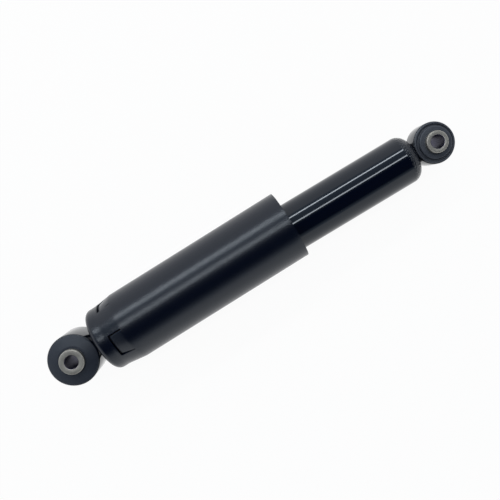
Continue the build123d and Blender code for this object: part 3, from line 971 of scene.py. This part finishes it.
@dataclass
class DustCover:
    """Satin dust cover with four snap tabs, leaning on its cup. Sizes in millimetres."""

    length: float = 201.3
    radius: float = 32.5
    wall: float = 1.8
    neck_radius: float = 30.2
    neck_length: float = 11.3
    cone_length: float = 16.5
    end_rounding: float = 5.5
    cone_rounding: float = 20.0
    hole_radius: float = 23.3
    end_x: float = 349.3
    lean_x: float = 340.75
    lean: float = math.radians(1.0)
    tab_count: int = 4
    tab_centre: float = 15.2
    tab_half_angle: float = 19.5
    slit_angle: float = 1.5
    slit_width: float = 0.9
    tab_length: float = 12.5
    tab_end_x: float = 334.0
    tab_drop: float = 1.5
    barb_height: float = 0.7
    edge_rounding: float = 0.25
    tab_rows: int = 6
    body_rows: int = 24
    body_margin: float = 30.0
    tab_curve: float = 1.2

    def profile(self) -> bmesh.types.BMesh:
        """Outer line from the mouth to the hole, cut where the slits begin and end.

        Returns:
            A mesh that holds the line only.
        """
        neck_x = self.end_x - self.neck_length
        cone_x = neck_x - self.cone_length
        corners = [
            Corner(self.end_x - self.length, self.radius),
            Corner(cone_x, self.radius, self.cone_rounding, 8),
            Corner(neck_x, self.neck_radius, self.cone_rounding, 8),
            Corner(self.end_x, self.neck_radius, self.end_rounding, 12),
            Corner(self.end_x, self.hole_radius),
            Corner(self.end_x - self.length, self.hole_radius),
        ]
        mesh = outline_mesh(corners, Axis.STROKE, 0.0)
        mouth_x = self.end_x - self.length
        closing = [
            vert
            for vert in mesh.verts
            if abs(vert.co.x - mouth_x * MM) < WELD_DISTANCE and vert.co.y < self.neck_radius * MM
        ]
        bmesh.ops.delete(mesh, geom=closing, context="VERTS")
        hinge_x = self.tab_end_x - self.tab_length
        cuts = [hinge_x, self.tab_end_x, self.tab_end_x + self.slit_width]
        tab_step = self.tab_length / self.tab_rows
        cuts += [hinge_x + tab_step * row for row in range(1, self.tab_rows)]
        body_step = (self.length - self.body_margin) / self.body_rows
        cuts += [mouth_x + body_step * row for row in range(1, self.body_rows)]
        for x in cuts:
            bmesh.ops.bisect_plane(
                mesh,
                geom=mesh.verts[:] + mesh.edges[:],
                plane_co=(x * MM, 0, 0),
                plane_no=(1, 0, 0),
            )
        return mesh

    def tab_place(self, x: float, angle: float) -> tuple[bool, bool]:
        """Whether a place on the cover lies in a slit or on a tab.

        Args:
            x: Place along the stroke, in millimetres.
            angle: Degrees from +Z towards +Y.

        Returns:
            In a slit, and on a tab.
        """
        hinge_x = self.tab_end_x - self.tab_length
        spacing = 360 / self.tab_count
        off = abs((angle - self.tab_centre + spacing / 2) % spacing - spacing / 2)
        in_reach = hinge_x < x < self.tab_end_x + self.slit_width
        if not in_reach or off > self.tab_half_angle + self.slit_angle:
            return False, False
        on_tab = off < self.tab_half_angle and x < self.tab_end_x
        return not on_tab, on_tab

    def build(self, finish: dict[str, bpy.types.Material]) -> bpy.types.Object:
        """Builds and dresses the cover.

        Args:
            finish: The finishes, by slot.

        Returns:
            The cover.
        """
        mesh = self.profile()
        spin_round(mesh)
        slits, tabs = [], set()
        for face in mesh.faces:
            middle = face.calc_center_median()
            angle = math.degrees(math.atan2(middle.y, middle.z)) % 360
            in_slit, on_tab = self.tab_place(middle.x / MM, angle)
            if in_slit:
                slits.append(face)
            if on_tab:
                tabs.update(face.verts)
        bmesh.ops.delete(mesh, geom=slits, context="FACES")
        for vert in tabs:
            share = (vert.co.x / MM - self.tab_end_x + self.tab_length) / self.tab_length
            radial = Vector((0, vert.co.y, vert.co.z))
            drop = max(share, 0) ** self.tab_curve * self.tab_drop
            vert.co -= radial.normalized() * drop * MM
        pivot = Matrix.Translation((self.lean_x * MM, 0, 0))
        lean = pivot @ Matrix.Rotation(self.lean, 4, "Z") @ pivot.inverted()
        bmesh.ops.recalc_face_normals(mesh, faces=mesh.faces)
        bmesh.ops.solidify(mesh, geom=mesh.faces[:], thickness=self.wall * MM)
        self.form_barbs(mesh)
        bmesh.ops.transform(mesh, matrix=lean, verts=mesh.verts)
        rims = [edge for edge in mesh.edges if edge.calc_face_angle(0.0) > RIM_ANGLE]
        bmesh.ops.bevel(
            mesh,
            geom=rims,
            offset=self.edge_rounding * MM,
            offset_type="OFFSET",
            segments=2,
            profile=0.5,
            affect="EDGES",
            clamp_overlap=True,
            material=-1,
        )
        cover = finish_mesh(mesh, "dust_cover_shell")
        dress(cover, finish["cover_plastic"])
        stand_for(cover, "dust_cover", "cover")
        return cover

    def tip_radius(self) -> float:
        """Outer radius of a tab's tip, in millimetres."""
        share = (self.end_x - self.neck_length - self.tab_end_x) / self.cone_length
        return self.neck_radius + share * (self.radius - self.neck_radius) - self.tab_drop

    def form_barbs(self, mesh: bmesh.types.BMesh) -> None:
        """Thickens the inside of each tab's tip into a barb.

        Args:
            mesh: The cover's wall, before it leans.
        """
        limit = self.tip_radius() - self.wall / 2
        for vert in mesh.verts:
            radial = Vector((0, vert.co.y, vert.co.z))
            at_tip = abs(vert.co.x / MM - self.tab_end_x) < self.slit_width
            if at_tip and radial.length / MM < limit:
                vert.co -= radial.normalized() * self.barb_height * MM


@dataclass
class ValveSpring:
    """Spring behind a check plate, which flattens as the plate lifts. Sizes in millimetres."""

    node: str
    body: str
    joint: str
    lift: float = 1.0
    seat_gap: float = 0.01

    def __post_init__(self) -> None:
        """Reads the spring's place from the frame."""
        low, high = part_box(self.node)
        self.low_x = low.x / MM + self.seat_gap
        self.high_x = high.x / MM

    def seat(self, piece: bpy.types.Object, finish: dict[str, bpy.types.Material]) -> None:
        """Dresses the spring, lets it ride on its body in its node's place and gives it a mesh of
        its own.

        Args:
            piece: The spring.
            finish: The finishes, by slot.
        """
        dress(piece, finish["spring_steel"])
        stand_for(piece, self.node, self.body)
        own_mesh(piece)


@dataclass
class CoilSpring(ValveSpring):
    """Conical coil spring of the foot valve. Sizes in millimetres."""

    wire_radius: float = 0.5
    turns: int = 3
    large_radius: float = 7.0
    small_radius: float = 5.0
    steps_per_turn: int = 48
    sides: int = 14

    def build(self, finish: dict[str, bpy.types.Material]) -> None:
        """Builds the spring as a ring spun along a screw line, then drawn in to a cone.

        Args:
            finish: The finishes, by slot.
        """
        mesh = bmesh.new()
        steps = self.turns * self.steps_per_turn
        start_x = self.low_x + self.wire_radius
        rise = self.high_x - self.wire_radius - start_x
        place = Matrix.Translation(Vector((start_x, 0, -self.large_radius)) * MM)
        bmesh.ops.create_circle(
            mesh,
            cap_ends=False,
            segments=self.sides,
            radius=self.wire_radius * MM,
            matrix=place @ Matrix.Rotation(math.pi / 2, 4, "X"),
        )
        bmesh.ops.spin(
            mesh,
            geom=mesh.verts[:] + mesh.edges[:],
            cent=(0, 0, 0),
            axis=(1, 0, 0),
            dvec=(rise * MM / steps, 0, 0),
            angle=2 * math.pi * self.turns,
            steps=steps,
        )
        for index, vert in enumerate(mesh.verts):
            share = index // self.sides / steps
            radial = Vector((0, vert.co.y, vert.co.z)).normalized()
            vert.co -= radial * (self.large_radius - self.small_radius) * share * MM
        bmesh.ops.holes_fill(mesh, edges=mesh.edges[:], sides=0)
        self.seat(finish_mesh(mesh, f"{self.node}_coil"), finish)


@dataclass
class StarSpring(ValveSpring):
    """Shallow conical star spring of the piston. Sizes in millimetres."""

    thickness: float = 0.3
    fingers: int = 6
    slot_width: float = 3.4
    inner_radius: float = 6.7
    root_distance: float = 8.3
    outer_radius: float = 12.6

    def build(self, finish: dict[str, bpy.types.Material]) -> None:
        """Builds the cone's upper face, cuts its slots and gives it its thickness.

        Args:
            finish: The finishes, by slot.
        """
        mesh = bmesh.new()
        inner = mesh.verts.new(Vector((self.high_x, self.inner_radius, 0)) * MM)
        outer = mesh.verts.new(Vector((self.low_x + self.thickness, self.outer_radius, 0)) * MM)
        mesh.edges.new((inner, outer))
        spin_round(mesh)
        for along, across in self.slot_directions():
            root, edge = along * self.root_distance, across * self.slot_width / 2
            for place, normal in ((root, along), (edge, across), (-edge, across)):
                bmesh.ops.bisect_plane(
                    mesh,
                    geom=mesh.verts[:] + mesh.edges[:] + mesh.faces[:],
                    plane_co=place * MM,
                    plane_no=normal,
                )
        cut = [face for face in mesh.faces if self.in_slot(face.calc_center_median() / MM)]
        bmesh.ops.delete(mesh, geom=cut, context="FACES")
        made = bmesh.ops.extrude_face_region(mesh, geom=mesh.faces[:], use_keep_orig=True)
        under = [item for item in made["geom"] if isinstance(item, bmesh.types.BMVert)]
        bmesh.ops.translate(mesh, verts=under, vec=(-self.thickness * MM, 0, 0))
        self.seat(finish_mesh(mesh, f"{self.node}_star"), finish)

    def slot_directions(self) -> list[tuple[Vector, Vector]]:
        """Each slot's direction outwards and across it.

        Returns:
            Both directions, slot by slot.
        """
        angles = [2 * math.pi * slot / self.fingers for slot in range(self.fingers)]
        return [
            (Vector((0, math.cos(a), math.sin(a))), Vector((0, -math.sin(a), math.cos(a))))
            for a in angles
        ]

    def in_slot(self, place: Vector) -> bool:
        """Whether a place on the cone lies in one of its slots.

        Args:
            place: The place, in millimetres.

        Returns:
            True inside a slot.
        """
        return any(
            place.dot(along) > self.root_distance and abs(place.dot(across)) < self.slot_width / 2
            for along, across in self.slot_directions()
        )


@dataclass(frozen=True)
class Lamp:
    """Long ceiling tube beside the camera, parallel to the stroke.

    Sizes are in metres, power in watts and tilt in radians from overhead towards -Y.
    """

    name: str
    tilt: float
    width: float
    power: float
    distance: float = 2.2
    length: float = 2.4

    def build(self, target: Vector) -> None:
        """Hangs the lamp, aimed at the object.

        Args:
            target: The point that it is aimed at.
        """
        data = bpy.data.lights.new(self.name, "AREA")
        data.shape = "RECTANGLE"
        data.size = self.length
        data.size_y = self.width
        data.energy = self.power
        lamp = bpy.data.objects.new(self.name, data)
        tilt = self.tilt + CAMERA_TILT
        direction = Vector((0, -math.sin(tilt), math.cos(tilt)))
        lamp.location = target + direction * self.distance
        lamp.rotation_euler = (tilt, 0, 0)
        bpy.context.scene.collection.objects.link(lamp)


@dataclass(frozen=True)
class Studio:
    """Pale floor, white surroundings, two ceiling tubes and the camera.

    The room and the floor's glow light the object. The floor's glow is painted light, and its low
    levels beside the object are a painted shadow.
    glow_stops are places across the floor in metres with their levels, and room_stops are degrees
    from overhead towards -Y with theirs.
    """

    floor_size: float = 6.0
    floor_x: float = 0.19
    floor_roughness: float = 0.9
    floor_colour: tuple[float, float, float] = (0.86, 0.86, 0.865)
    shadow_share: float = 0.05
    room_tint: tuple[float, float, float] = (0.87, 1.0, 1.11)
    floor_tint: tuple[float, float, float] = (0.95, 1.0, 1.04)
    ends_from: float = 0.6
    ends_to: float = 0.92
    ends_level: float = 0.8
    backdrop: float = 0.975
    backdrop_full: float = math.sin(math.radians(26))
    backdrop_top: float = math.sin(math.radians(34))
    glow_reach: float = 0.5
    # Levels of the floor's glow, which is painted light; the low levels near y = 0, beside the
    # object, are a painted shadow
    glow_stops: tuple[tuple[float, float], ...] = (
        (-0.5, 0.72),
        (-0.12, 0.8),
        (-0.06, 0.98),
        (-0.024, 0.98),
        (-0.012, 0.5),
        (0.01, 0.16),
        (0.03, 0.13),
        (0.048, 0.3),
        (0.075, 0.72),
        (0.13, 1.0),
        (0.5, 0.82),
    )
    room_stops: tuple[tuple[float, float], ...] = (
        (-180, 0.8),
        (-115, 1.36),
        (-95, 0.85),
        (-88, 0.78),
        (-76, 0.71),
        (-66, 0.57),
        (-57, 0.38),
        (-52, 0.18),
        (-48, 0.03),
        (-2, 0.02),
        (8, 0.2),
        (20, 0.42),
        (34, 0.5),
        (57, 0.58),
        (67, 1.12),
        (76, 1.18),
        (86, 1.0),
        (95, 0.86),
        (180, 0.8),
    )
    lamps: tuple[Lamp, ...] = (
        Lamp("far_tube", tilt=math.radians(42.2), width=0.18, power=16.2),
        Lamp("near_tube", tilt=math.radians(11.0), width=0.19, power=12.8),
    )

    def build(self) -> None:
        """Builds the floor, the world, the lamps and the camera."""
        self.build_floor()
        self.build_world()
        for lamp in self.lamps:
            lamp.build(Vector((CAMERA_X, 0, 0)))
        self.build_camera()

    def seen_rays(self, graph: Graph) -> bpy.types.NodeSocket:
        """Mask of the rays that show the background: the camera's, reflected and transmitted.

        Args:
            graph: The tree of the floor or of the world.

        Returns:
            1 on those rays and 0 on all others.
        """
        rays = graph.add("LightPath").outputs
        either = graph.maths("MAXIMUM", rays["Is Glossy Ray"], rays["Is Transmission Ray"])
        return graph.maths("MAXIMUM", rays["Is Camera Ray"], either.outputs[0]).outputs[0]

    def build_floor(self) -> None:
        """Floor under the dust cover: white with a faint shadow to the eye and in reflections; to
        other rays it glows with painted light across Y, with a painted shadow beside the object.
        """
        mesh = bmesh.new()
        bmesh.ops.create_grid(mesh, x_segments=1, y_segments=1, size=self.floor_size / 2)
        bmesh.ops.translate(mesh, verts=mesh.verts, vec=(self.floor_x, 0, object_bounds()[0][2]))
        floor = finish_mesh(mesh, "floor")
        material, graph, shader = new_material("floor_card")
        shader.inputs["Base Color"].default_value = (*self.floor_colour, 1.0)
        shader.inputs["Roughness"].default_value = self.floor_roughness
        white = graph.add("Emission", {"Color": (1, 1, 1, 1), "Strength": 1.0})
        shares = {0: 1 - self.shadow_share, 1: shader.outputs[0], 2: white.outputs[0]}
        seen = graph.add("MixShader", shares)
        split = graph.add("SeparateXYZ", {0: graph.place()})
        reach = {"From Min": -self.glow_reach, "From Max": self.glow_reach}
        across = graph.add("MapRange", {"Value": split.outputs["Y"], **reach})
        ramp = graph.add("ValToRGB", {"Fac": across.outputs[0]})
        self.fill_ramp(ramp, self.glow_stops, self.glow_reach, self.floor_tint)
        # Painted light from the floor for the rays that don't show the background, with a painted
        # shadow beside the object
        glow = graph.add("Emission", {"Color": ramp.outputs["Color"], "Strength": 1.0})
        shown = {0: self.seen_rays(graph), 1: glow.outputs[0], 2: seen.outputs[0]}
        mixed = graph.add("MixShader", shown)
        output = graph.tree.nodes["Material Output"]
        graph.tree.links.new(mixed.outputs[0], output.inputs["Surface"])
        dress(floor, material)
        floor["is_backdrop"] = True

    def build_world(self) -> None:
        """Room that is white all round to the eye and in reflections, and dark overhead."""
        world = bpy.data.worlds.new("room")
        world.use_nodes = True
        bpy.context.scene.world = world
        graph = Graph(world.node_tree)
        direction = graph.add("TexCoord").outputs["Generated"]
        split = graph.add("SeparateXYZ", {0: direction})
        side = graph.maths("MULTIPLY", split.outputs["Y"], -1.0)
        tilt = graph.maths("ARCTAN2", side.outputs[0], split.outputs["Z"])
        turn = graph.add(
            "MapRange",
            {
                "Value": tilt.outputs[0],
                "From Min": CAMERA_TILT - math.pi,
                "From Max": CAMERA_TILT + math.pi,
            },
        )
        ramp = graph.add("ValToRGB", {"Fac": turn.outputs[0]})
        self.fill_ramp(ramp, self.room_stops, 180, self.room_tint)
        ends = graph.maths("ABSOLUTE", split.outputs["X"])
        rise = {"Value": ends.outputs[0], "From Min": self.ends_from, "From Max": self.ends_to}
        share = graph.add("MapRange", rise, interpolation_type="SMOOTHSTEP")
        level = [self.ends_level * part for part in self.room_tint]
        mixed = graph.add("Mix", {"Factor": share.outputs[0]}, data_type="RGBA")
        graph.tree.links.new(ramp.outputs["Color"], mixed.inputs["A"])
        mixed.inputs["B"].default_value = (*level, 1.0)
        height = {"From Min": self.backdrop_full, "From Max": self.backdrop_top}
        falling = {"Value": split.outputs["Z"], **height, "To Min": 1.0, "To Max": 0.0}
        around = graph.add("MapRange", falling, interpolation_type="SMOOTHSTEP")
        shown = graph.maths("MULTIPLY", self.seen_rays(graph), around.outputs[0])
        seen = graph.add("Mix", {"Factor": shown.outputs[0]}, data_type="RGBA")
        graph.tree.links.new(mixed.outputs["Result"], seen.inputs["A"])
        seen.inputs["B"].default_value = (*[self.backdrop] * 3, 1.0)
        background = world.node_tree.nodes["Background"]
        graph.tree.links.new(seen.outputs["Result"], background.inputs["Color"])
        background.inputs["Strength"].default_value = 1.0

    def fill_ramp(
        self,
        ramp: bpy.types.Node,
        stops: Sequence[tuple[float, float]],
        reach: float,
        tint: tuple[float, float, float],
    ) -> None:
        """Sets a colour ramp's elements to tinted levels.

        Args:
            ramp: The ramp's node, which runs from -reach to reach.
            stops: Places and their levels.
            reach: Place at the ramp's end.
            tint: Colour of a level of 1.
        """
        elements = ramp.color_ramp.elements
        for index, (place, level) in enumerate(stops):
            position = (place / reach + 1) / 2
            element = elements[index] if index < 2 else elements.new(position)
            element.position = position
            element.color = (*(level * share for share in tint), 1.0)

    def build_camera(self) -> None:
        """Camera above the object, swung a little about the stroke."""
        data = bpy.data.cameras.new("camera")
        data.sensor_width = SENSOR_MM
        data.lens = FOCAL_PIXELS / IMAGE_PIXELS * SENSOR_MM
        camera = bpy.data.objects.new("camera", data)
        place = Matrix.Translation((CAMERA_X, CAMERA_Y, CAMERA_HEIGHT))
        swing = Matrix.Rotation(CAMERA_TILT, 4, "X")
        camera.matrix_world = swing @ place @ Matrix.Rotation(CAMERA_TURN, 4, "Z")
        bpy.context.scene.collection.objects.link(camera)
        bpy.context.scene.camera = camera


def main() -> None:
    """Builds the object's finishes and shells, then the studio."""
    logging.basicConfig(level=logging.INFO, format="%(message)s")
    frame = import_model()
    slots = {part["node"]: part["material_slot"] for part in frame["record"]["subparts"]}

    base_eye = Eye(
        label="base",
        body="reservoir",
        sleeve_body="base_sleeve",
        steel="bare_steel",
        rubber="base_rubber",
        ring_wall=3.0,
        bush_steps=[
            Corner(0.0, 18.3),
            Corner(1.8, 18.3, 0.7, 5),
            Corner(1.8, 16.5, 0.5, 4),
            Corner(0.7, 16.5, 0.3, 3),
            Corner(0.7, 14.6, 0.3, 3),
            Corner(4.0, 14.6, 0.9, 5),
        ],
    )
    rod_eye = Eye(
        label="rod",
        body="rod",
        sleeve_body="rod_sleeve",
        steel="rod_sleeve_steel",
        rubber="eye_rubber",
        ring_wall=3.1,
        bush_steps=[
            Corner(0.0, 22.4),
            Corner(0.9, 22.4, 0.6, 5),
            Corner(3.4, 13.4, 1.2, 5),
        ],
    )
    effects = Effects()
    finish = finishes(effects, rod_eye.centre_x)
    for name, node in frame["nodes"].items():
        worn = PAINTED_OVER.get(name, slots[name])
        dress(node, finish[worn])
        LOG.info("%s wears %s", name, worn)
    base_eye.build(finish)
    rod_eye.build(finish)
    Reservoir().build(finish)
    DustCover().build(finish)
    CoilSpring("foot_valve_spring", "reservoir", "foot_check_lift").build(finish)
    StarSpring("piston_check_spring", "rod", "piston_check_lift").build(finish)
    tube_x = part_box("reservoir_tube")[0].x / MM
    WeldBead(
        label="base_eye_weld",
        body="reservoir",
        eye=base_eye,
        plane_x=tube_x,
        half_width=10.5,
        half_height=9.5,
        ring_side=-1,
    ).build(finish)
    Studio().build()
    bpy.context.scene.view_settings.view_transform = "Standard"


if __name__ == "__main__":
    main()
